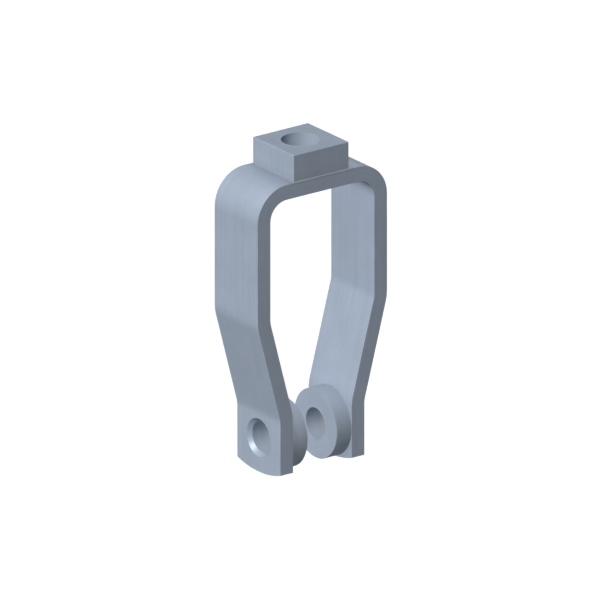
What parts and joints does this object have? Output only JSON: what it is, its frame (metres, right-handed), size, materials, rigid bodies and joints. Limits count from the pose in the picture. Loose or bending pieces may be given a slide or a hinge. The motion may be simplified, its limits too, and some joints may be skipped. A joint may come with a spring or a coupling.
{
  "type": "clevis fitting",
  "caption": "Strap yoke with a threaded block on its crown, legs that slant in to two ears, and a bored boss inside each ear for a pin.",
  "frame": {"origin": "middle of the pin axis, half way between the two ears", "axes": "+X along the pin axis, +Y across the width of the strap, +Z from the pin up through the threaded block"},
  "size_m": [0.0636, 0.0286, 0.135],
  "materials": {
    "strap_steel": "satin",
    "block_steel": "satin",
    "boss_steel": "satin"
  },
  "bodies": {
    "root": {"strap": "strap_steel", "threaded_block": "block_steel", "left_boss": "boss_steel", "right_boss": "boss_steel"}
  },
  "joints": []
}
